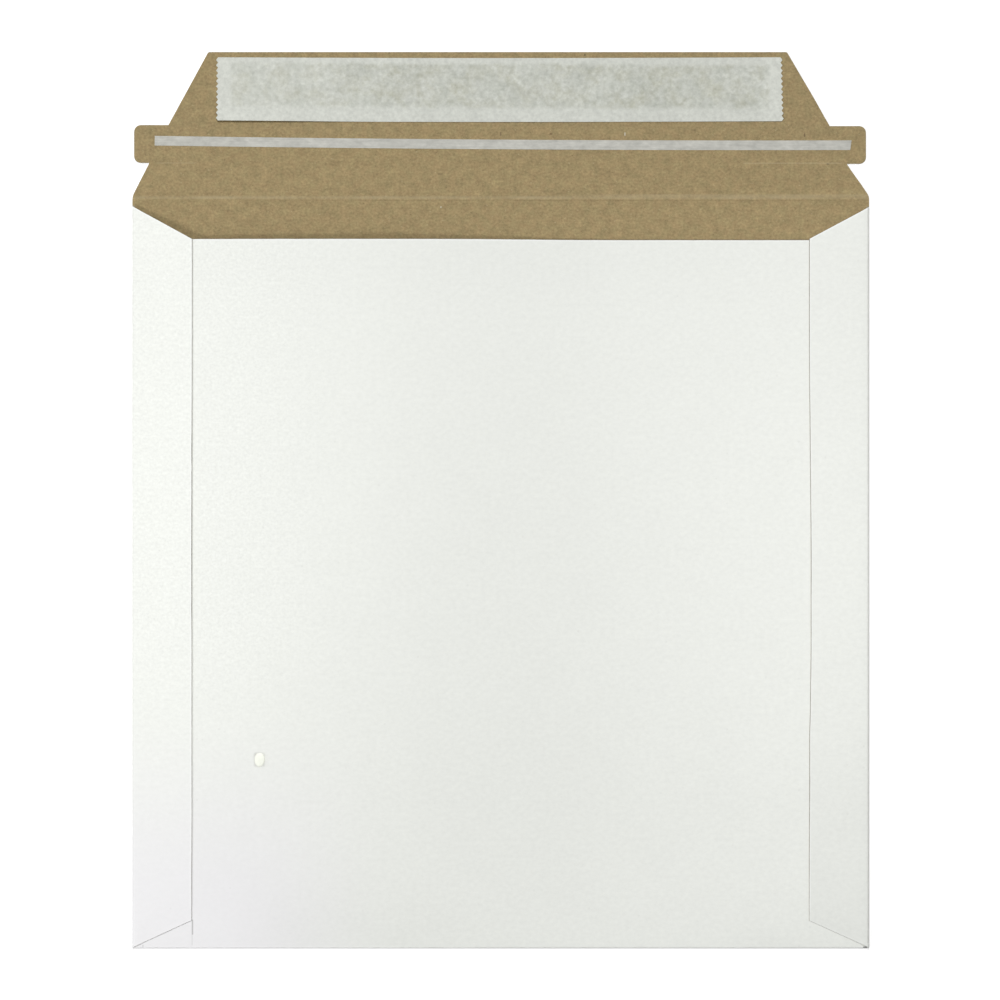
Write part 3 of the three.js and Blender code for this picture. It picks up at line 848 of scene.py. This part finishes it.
    # which way each free edge of the front panel and side flaps slants
    inset = sheet.verts.layers.float_vector.new("inset")
    for vert in sheet.verts:
        edges = [edge for edge in vert.link_edges if edge.is_boundary]
        upper = vert.co.y < frontStart - 1 * mm or abs(vert.co.x) > widest + board["sideRadius"] * 2
        if upper and len(edges) == 2:
            inward = []
            for edge in edges:
                along = (edge.other_vert(vert).co - vert.co).normalized()
                inside = edge.link_faces[0].calc_center_median() - vert.co
                inward.append((inside - along * inside.dot(along)).normalized())
            slant = (inward[0] + inward[1]) / (1 + inward[0].dot(inward[1]))
            if abs(vert.co.x) > widest:
                hand = handOf(vert.co.x)
                share = graded(board["seamOpen"][hand], vert.co.y)
                slant = Vector((slant.x * share, slant.y * board["endBevel"][hand], 0.0))
            vert[inset] = slant

    mesh = bpy.data.meshes.new("flatBlank")
    sheet.to_mesh(mesh)
    sheet.free()
    return mesh


# Folds the flat blank: up and over at the bottom, round both sides, arched at the mouth
def foldBoardTree():
    names = "Geometry foldX foldY mouth crease bottomRadius bottomPress sideRadius thickness mouthGape"
    tree, given = pieceTree("foldBoard", board, names + " cutBevel bevelNoise scoreDepth scoreWidth warp")
    place = pointPlace(tree)
    x, y, _ = split(place)
    blank = store(given["Geometry"], "sheet", place, "FLOAT_VECTOR")
    blank = store(blank, "cut", cutDistance(given["Geometry"]))
    turning, ply = stored(tree, "turning"), stored(tree, "ply")
    flat = stored(tree, "sheet", "FLOAT_VECTOR")
    half = times(given["thickness"], 0.5)

    def wrap(length, radius, press):  # a half turn, then back over itself; a press under 1 squares it
        turn = calc("MINIMUM", divided(length, radius), math.pi)
        past = atLeast(minus(length, times(radius, math.pi)), 0.0)
        outer = plus(radius, half)  # the outer face is half a board further out
        sine, cosine = atLeast(calc("SINE", turn), 0.0), calc("COSINE", turn)
        reach = minus(times(outer, power(sine, press)), past)
        turned = times(power(absolute(cosine), press), signOf(cosine))
        return reach, times(outer, minus(1.0, turned)), past

    below = times(atLeast(minus(given["foldY"], y), 0.0), minus(1.0, turning))
    bottomReach, bottomUp, bottomPast = wrap(below, given["bottomRadius"], given["bottomPress"])
    beyond = times(atLeast(minus(absolute(x), given["foldX"]), 0.0), turning)
    sideReach, sideUp, sidePast = wrap(beyond, given["sideRadius"], 1.0)
    newX = plus(x, times(signOf(x), minus(sideReach, beyond)))
    newY = minus(plus(y, below), bottomReach)
    spot = {"X": newX, "Y": newY}
    rise = useGroup(frontRise, {**spot, **picked(given, "foldX foldY mouth mouthGape")})["Rise"]
    lift = useGroup(boardWarp, {**spot, "warp": given["warp"]})["Lift"]
    upper = isOver(plus(bottomPast, sidePast), 0.0)
    newZ = plus(bottomUp, sideUp, timesPlus(upper, rise, lift))
    inputs = {"Geometry": blank, "Position": combine(newX, newY, newZ)}
    folded = wire("GeometryNodeSetPosition", inputs)[0]
    closed = useGroup(thickenSheet, {"Geometry": folded, "Thickness": given["thickness"]})

    # the score pressed into the kraft face, and the slanted cuts and thin ends of the white face
    flatX, flatY, _ = split(flat)
    insetX, insetY, _ = split(stored(tree, "inset", "FLOAT_VECTOR"))
    outerFace = minus(1.0, ply)
    off = divided(minus(flatY, given["crease"]), given["scoreWidth"])
    groove = times(calc("EXPONENT", times(off, off, -1.0)), given["scoreDepth"], ply)
    pressed = times(stored(tree, "thinned"), outerFace)
    bevel = times(given["cutBevel"], plus(cloud(flat, given["bevelNoise"]), 0.5), outerFace)
    # folded over, the inward way is reversed
    turnedX = minus(1.0, times(isOver(absolute(flatX), given["foldX"]), 2.0))
    turnedY = minus(1.0, times(isUnder(flatY, given["foldY"]), 2.0))
    sunk = times(plus(groove, pressed), -1.0)
    shift = combine(times(insetX, turnedX, bevel), times(insetY, turnedY, bevel), sunk)
    cut = wire("GeometryNodeSetPosition", {"Geometry": closed["Geometry"], "Offset": shift})[0]
    return ended(cut, (whiteCoat, True), (kraftFace, closed["Grown"]), (rawEdge, closed["Rim"]))


boardSheet = shapeWith(newPiece("boardSheet", flatBlank()), foldBoardTree(), board)
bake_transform(boardSheet)
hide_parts("pocket", "closure_flap")


# Release liner: glassine strip with pinked ends, stuck down over the adhesive only
liner = {
    "left": -122.8 * mm,
    "right": 121.5 * mm,
    "lower": 163.65 * mm,
    "upper": 191.02 * mm,
    "sag": 0.35 * mm,  # its middle lies lower than its ends
    "lowerDroop": 0.22 * mm,  # and its lower edge, away from the left end
    "thickness": 0.08 * mm,
    "height": 0.72 * mm,  # over the floor, on the adhesive
    "toothPitch": 2.25 * mm,
    "toothDepth": 0.85 * mm,
    "cutSkew": 0.6 * mm,  # the right end leans out at its lower corner
    "cornerLift": 1.5 * mm,  # the lower left corner has come up
    "ripple": 0.55 * mm,  # of the loose lower margin
    "rippleNoise": 42.0,
    "skewFrom": 0.95,  # these four in shares of the strip's length or width
    "droopRange": (0.02, 0.3),
    "cornerReach": (0.3, 0.4),
    "marginReach": 0.24,
    "columns": 124,
    "dry": (0.593, 0.607, 0.556),
    "wet": (0.402, 0.419, 0.365),  # where the adhesive shows through
    "yellowed": (0.402, 0.404, 0.321),
    "yellowNoise": (110.0, 3.0),
    "yellowRange": (-0.3, 0.3),
    "stuck": {"left": -116.3 * mm, "right": 115.5 * mm, "low": 169.4 * mm, "high": 188.0 * mm},
    "stuckTilt": -0.0045,
    "stuckEdge": (240.0, 4.0, 1.4 * mm),  # scale, detail and depth of its raggedness
    "stuckSoft": (1.2 * mm, 1.0 * mm),  # at its low and high sides
    "blotNoise": (400.0, 4.0, 0.62),
    "blotRange": (-0.52, 0.52, -0.05, 0.9),
    "broadNoise": (60.0, 0.35),  # scale and amount
    "soaked": ((("x", -115, -40, 0.75, 1.0),), (("x", 10, 60, 0.0, 0.08),)),  # less at the left, in mm
    "tones": ((("x", -120, -30, 0.03, -0.012),), (("x", 105, 118, 0.0, 0.045),)),
    "grain": {"Grain": 620.0, "Stretch": 1.0, "Clouds": 70.0},
    "grainTones": (0.24, 0.09),
    "grainHeight": 0.3,
    "roughness": (0.0, 1.0, 0.7, 0.6),
    "specular": 0.2,
    "bump": (0.4, 0.06 * mm),
}


def linerPaperMaterial():
    material, tree = startMaterial("linerPaper")
    place = objectPlace(tree)
    grain = useGroup(paperGrain, {"Vector": place, **liner["grain"]})
    x, y, _ = split(place)
    places = {"x": divided(x, mm)}
    level = minus(y, times(x, liner["stuckTilt"]))
    scale, detail, depth = liner["stuckEdge"]
    wander = times(noise(place, scale, detail), depth)

    def inside(value, low, high):  # soft ragged edges of the stuck strip
        ragged = plus(value, wander)
        lowSoft, highSoft = liner["stuckSoft"]
        start = ranged(ragged, low - lowSoft, low + lowSoft)
        return times(start, ranged(ragged, high - highSoft, high + highSoft, 1.0, 0.0))

    edges = liner["stuck"]
    stuck = times(inside(x, edges["left"], edges["right"]), inside(level, edges["low"], edges["high"]))
    blots = noise(place, *liner["blotNoise"])
    scale, amount = liner["broadNoise"]
    blotted = ranged(timesPlus(noise(place, scale), amount, blots), *liner["blotRange"], False)
    wet = times(stuck, blotted, slopes(places, *liner["soaked"]))
    yellowing = ranged(noise(place, *liner["yellowNoise"]), *liner["yellowRange"])
    colour = mixed(wet, liner["dry"], mixed(yellowing, liner["wet"], liner["yellowed"]))
    colour = toned(colour, slopes(places, *liner["tones"]), 1.0)
    colour = grained(colour, grain, liner)
    height = timesPlus(blots, stuck, times(grain["Height"], liner["grainHeight"]))
    return endMaterial(material, liner, colour, wet, height)


def pinkedStripTree(finish):
    names = "left right lower upper height thickness toothPitch toothDepth cutSkew sag lowerDroop"
    tree, given = pieceTree("pinkedStrip", liner, names + " cornerLift ripple rippleNoise warp columns")
    length = minus(given["right"], given["left"])
    width = minus(given["upper"], given["lower"])
    teeth = calc("ROUND", divided(width, given["toothPitch"]))
    strip = grid(length, width, given["columns"], timesPlus(teeth, 2.0, 1.0))  # a row at each tip and root
    x, y, _ = split(pointPlace(tree))
    along = plus(divided(x, length), 0.5)
    up = plus(divided(y, width), 0.5)
    down = minus(1.0, up)
    tip = times(calc("PINGPONG", times(up, teeth), 0.5), 2.0)
    root = times(minus(1.0, tip), given["toothDepth"])
    notch = times(root, minus(isUnder(along, 0.0001), isOver(along, 0.9999)))  # at the two ends alone
    lean = times(down, given["cutSkew"], ranged(along, liner["skewFrom"], 1.0))
    newX = plus(timesPlus(along, length, given["left"]), notch, lean)
    dip = times(calc("SINE", times(along, math.pi)), given["sag"])
    droop = times(down, given["lowerDroop"], ranged(along, *liner["droopRange"]))
    newY = minus(timesPlus(up, width, given["lower"]), plus(dip, droop))
    cornerX, cornerY = liner["cornerReach"]
    corner = times(ranged(along, 0.0, cornerX, 1.0, 0.0), ranged(up, 0.0, cornerY, 1.0, 0.0))
    corner = times(corner, given["cornerLift"])
    wave = cloud(combine(newX, 0.0, 1.3), given["rippleNoise"])
    margin = times(ranged(up, 0.0, liner["marginReach"], 1.0, 0.0), wave, given["ripple"])
    return laid(given, strip, newX, newY, finish, corner, margin)


releaseLiner = shapeWith(newPiece("releaseLiner"), pinkedStripTree(linerPaperMaterial()), liner)
fasten(releaseLiner, "flap", "release_liner")


# Tear tape: a band of filaments laid along a bowed path inside the tear strip
tape = {
    "left": -149.3 * mm,
    "right": 151.4 * mm,
    "middle": 153.1 * mm,  # where the tape's right end lies
    "rise": 1.92 * mm,  # of its left end
    "bow": 0.35 * mm,  # it hangs a little between its ends
    "width": 4.12 * mm,
    "thickness": 0.1 * mm,
    "height": 0.605 * mm,  # over the floor, on the kraft face
    "cutSkew": 0.6 * mm,  # the right end is cut askew
    "skewFrom": 0.98,  # in shares of the length
    "filaments": 9,
    "filamentRows": 4.0,
    "filamentHeight": 0.03 * mm,
    "columns": 90,
    "colours": ((0.444, 0.439, 0.401), (0.493, 0.488, 0.445)),
    "threadNoise": 2300.0,
    "threadSquash": 0.012,  # along X
    "threadRange": (0.3, 0.7),
    "grain": {"Grain": 520.0, "Stretch": 2.0, "Clouds": 90.0},
    "grainTones": (0.34, 0.14),
    "roughness": (0.3, 0.7, 0.5, 0.65),
    "specular": 0.25,
    "bump": (0.4, 0.05 * mm),
}
tape["start"] = (tape["left"], tape["middle"] + tape["rise"], 0.0)
tape["hang"] = ((tape["left"] + tape["right"]) / 2, tape["middle"] - tape["bow"], 0.0)
tape["end"] = (tape["right"], tape["middle"], 0.0)


def filamentTapeMaterial():
    material, tree = startMaterial("filamentTape")
    place = objectPlace(tree)
    x, y, _ = split(place)
    threads = cloud(combine(times(x, tape["threadSquash"]), y, 0.0), tape["threadNoise"])
    grain = useGroup(paperGrain, {"Vector": place, **tape["grain"]})
    colour = mixed(ranged(threads, *tape["threadRange"]), *tape["colours"])
    colour = grained(colour, grain, tape)
    return endMaterial(material, tape, colour, threads, threads)


def laidTapeTree(finish):
    names = "start hang end width height thickness cutSkew filaments filamentHeight warp columns"
    tree, given = pieceTree("laidTape", tape, names)
    inputs = {"Resolution": 64, "Start": given["start"], "Middle": given["hang"], "End": given["end"]}
    path = wire("GeometryNodeCurveQuadraticBezier", inputs)[0]
    band = grid(1.0, 1.0, given["columns"], timesPlus(given["filaments"], tape["filamentRows"], 1.0))
    u, v, _ = split(pointPlace(tree))
    along = plus(u, 0.5)
    onPath = wire("GeometryNodeSampleCurve", {"Curves": path, "Factor": along}, mode="FACTOR")
    pathX, pathY, _ = split(onPath["Position"])
    leanX, leanY, _ = split(onPath["Tangent"])
    across = times(v, given["width"])
    skew = times(minus(v, 0.5), given["cutSkew"], ranged(along, tape["skewFrom"], 1.0))
    newX = plus(minus(pathX, times(across, leanY)), skew)
    newY = plus(pathY, times(across, leanX))
    rib = absolute(calc("SINE", times(plus(v, 0.5), given["filaments"], math.pi)))
    return laid(given, band, newX, newY, finish, times(rib, given["filamentHeight"]))


tearTape = shapeWith(newPiece("tearTape"), laidTapeTree(filamentTapeMaterial()), tape)
fasten(tearTape, "flap", "tear_tape")


# Glue lines under the side flaps, and the seal strip under the liner
glue = {
    "thickness": 0.12 * mm,
    "ragged": 0.5 * mm,
    "ragNoise": 130.0,
    "pitch": 3.0 * mm,
    "fewest": 5.0,  # points along a side
    "seamHeight": 1.86 * mm,  # on the front panel, before its arch
    "sealHeight": 0.6 * mm,  # on the flap's kraft face
    "colour": (0.68, 0.65, 0.52),
    "clouding": 0.12,
    "grain": {"Grain": 500.0, "Stretch": 1.0, "Clouds": 120.0},
    "bubbles": {"Scale": 700.0, "Share": 0.12, "Size": 0.4},
    "bubbleAmount": 0.5,
    "bubbleTint": (0.85, 0.83, 0.74),
    "roughness": (-0.6, 0.6, 0.18, 0.4),
    "specular": 0.5,
    "bump": (0.5, 0.06 * mm),
}


def clearGlueMaterial():
    material, tree = startMaterial("clearGlue")
    place = objectPlace(tree)
    grain = useGroup(paperGrain, {"Vector": place, **glue["grain"]})
    bubbles = useGroup(flecks, {"Vector": place, **glue["bubbles"]})["Mask"]
    colour = toned(glue["colour"], grain["Clouding"], glue["clouding"])
    colour = mixed(times(bubbles, glue["bubbleAmount"]), colour, glue["bubbleTint"])
    return endMaterial(material, glue, colour, grain["Fine"], minus(grain["Clouding"], bubbles))


def glueSizes(node, height, gape):  # from the solid's box
    low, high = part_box(node)
    sizes = {"sizeX": high.x - low.x, "sizeY": high.y - low.y}
    sizes.update({"middleX": (low.x + high.x) / 2, "middleY": (low.y + high.y) / 2})
    return {**glue, **sizes, "height": height, "mouthGape": gape}


def glueLineTree(finish, sizes):
    names = "sizeX sizeY middleX middleY height thickness ragged ragNoise pitch warp mouthGape"
    tree, given = pieceTree("glueLine", sizes, names)

    def count(size):
        return atLeast(calc("CEIL", divided(size, given["pitch"])), glue["fewest"])

    line = grid(given["sizeX"], given["sizeY"], count(given["sizeX"]), count(given["sizeY"]))
    x, y, _ = split(pointPlace(tree))
    pull = times(cloud(combine(x, y, 8.1), given["ragNoise"]), given["ragged"])

    def ragged(value, axis):  # edges run in and out, never past the size
        atEdge = isOver(absolute(value), times(given["size" + axis], 0.4999))
        return plus(minus(value, times(atEdge, signOf(value), pull)), given["middle" + axis])

    newX, newY = ragged(x, "X"), ragged(y, "Y")
    rise = useGroup(frontRise, {"X": newX, "Y": newY, "mouthGape": given["mouthGape"]})["Rise"]
    return laid(given, line, newX, newY, finish, rise)


seams = glue["seamHeight"], board["mouthGape"]
glueLine = glueLineTree(clearGlueMaterial(), glueSizes("seam_glue_left", *seams))
for pieceName, node, body, height, gape in (
    ("seamGlueLeft", "seam_glue_left", "pocket", *seams),
    ("seamGlueRight", "seam_glue_right", "pocket", *seams),
    ("sealAdhesive", "seal_adhesive", "flap", glue["sealHeight"], 0.0),
):
    gluePiece = shapeWith(newPiece(pieceName), glueLine, glueSizes(node, height, gape))
    fasten(gluePiece, body, node)


# Dried drop of glue on the front panel: a low uneven dome with a thin skirt, following the arch
drop = {
    "shift": (0.48 * mm, 0.3 * mm),  # off the solid's place
    "halfWidth": 2.2 * mm,
    "halfLength": 2.95 * mm,
    "squared": 0.9,  # under 1 its outline is squarer than an ellipse
    "taper": 0.07,  # narrower towards its lower end
    "waves": ((2, 0.025, -0.4), (3, 0.02, 1.2), (7, 0.012, 0.0)),  # round its outline: count, size, turn
    "dent": (0.12, 0.5, -0.6),  # share of the height, and its place from the middle in mm
    "height": 0.38 * mm,
    "skirt": 0.06,  # share of the height at the rim
    "rimGap": 0.01 * mm,  # over the board
    "footGap": 0.005 * mm,
    "rings": 12,
    "sides": 48,
    "colour": (0.93, 0.95, 0.85),
    "grain": {"Grain": 900.0, "Stretch": 1.0, "Clouds": 420.0},
    "grainTones": (0.03, 0.05),
    "roughness": (-0.5, 0.5, 0.4, 0.6),
    "specular": 0.5,
    "bump": (0.4, 0.1 * mm),
}


def driedGlueMaterial():
    material, tree = startMaterial("driedGlue")
    grain = useGroup(paperGrain, {"Vector": objectPlace(tree), **drop["grain"]})
    colour = grained(drop["colour"], grain, drop)
    return endMaterial(material, drop, colour, grain["Clouding"], grain["Clouding"])


def panelHeight(x, y):  # of the board's upper face, from a ray straight down
    found, hit, _, _ = boardSheet.ray_cast(Vector((x, y, 0.05)), Vector((0.0, 0.0, -1.0)))
    return hit.z if found else board["frontTop"]


def makeDrop():
    low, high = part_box("glue_spot")
    middleX = (low.x + high.x) / 2 + drop["shift"][0]
    middleY = (low.y + high.y) / 2 + drop["shift"][1]
    rings, sides, squared = drop["rings"], drop["sides"], drop["squared"]
    dentDepth, dentX, dentY = drop["dent"]
    points, faces = [], []
    for ring in range(1, rings + 1):
        share = ring / rings
        dome = drop["skirt"] + (1 - drop["skirt"]) * math.sqrt(max(1 - share**2, 0.0))
        for side in range(sides):
            angle = 2 * math.pi * side / sides
            uneven = 1 + sum(size * math.sin(count * angle + turn) for count, size, turn in drop["waves"])
            cosine, sine = math.cos(angle), math.sin(angle)
            wide = drop["halfWidth"] * (1 + drop["taper"] * sine)
            aside = wide * share * uneven * math.copysign(abs(cosine) ** squared, cosine)
            up = drop["halfLength"] * share * uneven * math.copysign(abs(sine) ** squared, sine)
            dent = 1 - dentDepth * math.exp(-((aside / mm - dentX) ** 2 + (up / mm - dentY) ** 2))
            x, y = middleX + aside, middleY + up
            points.append((x, y, panelHeight(x, y) + drop["rimGap"] + drop["height"] * dome * dent))
    for ring in range(rings - 1):
        for side in range(sides):
            a, b = ring * sides + side, ring * sides + (side + 1) % sides
            faces.append((a, a + sides, b + sides, b))
    crown = len(points)
    points.append((middleX, middleY, panelHeight(middleX, middleY) + drop["rimGap"] + drop["height"]))
    faces += [(crown, side, (side + 1) % sides) for side in range(sides)]
    rim = (rings - 1) * sides
    foot = len(points)  # the flat underside, on the board
    points += [(x, y, panelHeight(x, y) + drop["footGap"]) for x, y, _ in points[rim : rim + sides]]
    faces += [(rim + i, foot + i, foot + (i + 1) % sides, rim + (i + 1) % sides) for i in range(sides)]
    faces.append(tuple(foot + i for i in reversed(range(sides))))
    mesh = bpy.data.meshes.new("driedDrop")
    mesh.from_pydata(points, [], faces)
    mesh.materials.append(driedGlueMaterial())
    mesh.shade_smooth()
    mesh.set_sharp_from_angle(angle=math.radians(60))
    fasten(newPiece("driedDrop", mesh), "pocket", "glue_spot")
    print("driedDrop shaped:", len(faces), "faces")


makeDrop()


# Stage: white floor, soft light from above and the left, camera straight over the mailer
stage = {
    "floorSize": 8.0,
    "floorColour": (0.86, 0.86, 0.86, 1.0),
    "floorRoughness": 0.9,
    "cameraGlow": 0.34,  # lifts the floor to white for the camera alone
    "glowFar": 1.0,  # out where the lamps no longer reach
    "glowRange": (0.45, 1.6),  # from the one to the other
    "world": 0.2,
    "overhead": {"place": (-0.1, 1.1, 2.6), "size": 0.4, "power": 49.6},
    "leftKey": {"place": (-1.5, -0.7, 1.75), "size": 0.4, "power": 17.5},
    "lens": 200.0,
    "sensor": 36.0,
    "sightEnd": 20.0,
    "view": 431.6 * mm,  # width of the picture at the board
    "aim": (-0.316 * mm, 0.0, 0.0),
}
white = (1.0, 1.0, 1.0, 1.0)


def seenDirectly(tree):  # by the camera, or in a mirror or through glass
    rays = addNode(tree, "ShaderNodeLightPath").outputs
    bounced = atLeast(rays["Is Glossy Ray"], rays["Is Transmission Ray"])
    return atLeast(rays["Is Camera Ray"], bounced)


def floorMaterial():
    material, tree = startMaterial("whiteFloor")
    shader = tree.nodes["shader"].inputs
    away = wire("ShaderNodeVectorMath", {0: objectPlace(tree)}, operation="LENGTH")["Value"]
    glow = ranged(away, *stage["glowRange"], stage["cameraGlow"], stage["glowFar"])
    feed(stage["floorColour"], shader["Base Color"])
    feed(stage["floorRoughness"], shader["Roughness"])
    feed(0.0, shader["Specular IOR Level"])
    feed(white, shader["Emission Color"])
    feed(times(seenDirectly(tree), glow), shader["Emission Strength"])
    layOut(tree)
    return material


def setStage():
    scene = bpy.context.scene
    half = stage["floorSize"] / 2
    corners = [(-half, -half, 0), (half, -half, 0), (half, half, 0), (-half, half, 0)]
    ground = bpy.data.meshes.new("floor")
    ground.from_pydata(corners, [], [(0, 1, 2, 3)])
    ground.materials.append(floorMaterial())
    newPiece("floor", ground)

    world = bpy.data.worlds.new("softRoom")
    world.use_nodes = True
    backdrop = world.node_tree.nodes["Background"].inputs
    feed(white, backdrop["Color"])
    feed(ranged(seenDirectly(world.node_tree), 0.0, 1.0, stage["world"], 1.0, False), backdrop["Strength"])
    scene.world = world
    for name in ("overhead", "leftKey"):
        lamp = bpy.data.lights.new(name, "AREA")
        lamp.shape, lamp.size, lamp.energy = "SQUARE", stage[name]["size"], stage[name]["power"]
        fixture = bpy.data.objects.new(name, lamp)
        fixture.location = stage[name]["place"]
        fixture.rotation_euler = (-Vector(stage[name]["place"])).to_track_quat("-Z", "Y").to_euler()
        scene.collection.objects.link(fixture)

    lens = bpy.data.cameras.new("camera")
    lens.lens, lens.sensor_width, lens.clip_end = stage["lens"], stage["sensor"], stage["sightEnd"]
    camera = bpy.data.objects.new("camera", lens)
    distance = stage["view"] / 2 / (lens.sensor_width / 2 / lens.lens)
    camera.location = Vector(stage["aim"]) + Vector((0.0, 0.0, distance))
    scene.collection.objects.link(camera)
    scene.camera = camera
    scene.view_settings.view_transform = "Standard"


setStage()
print("stage set")
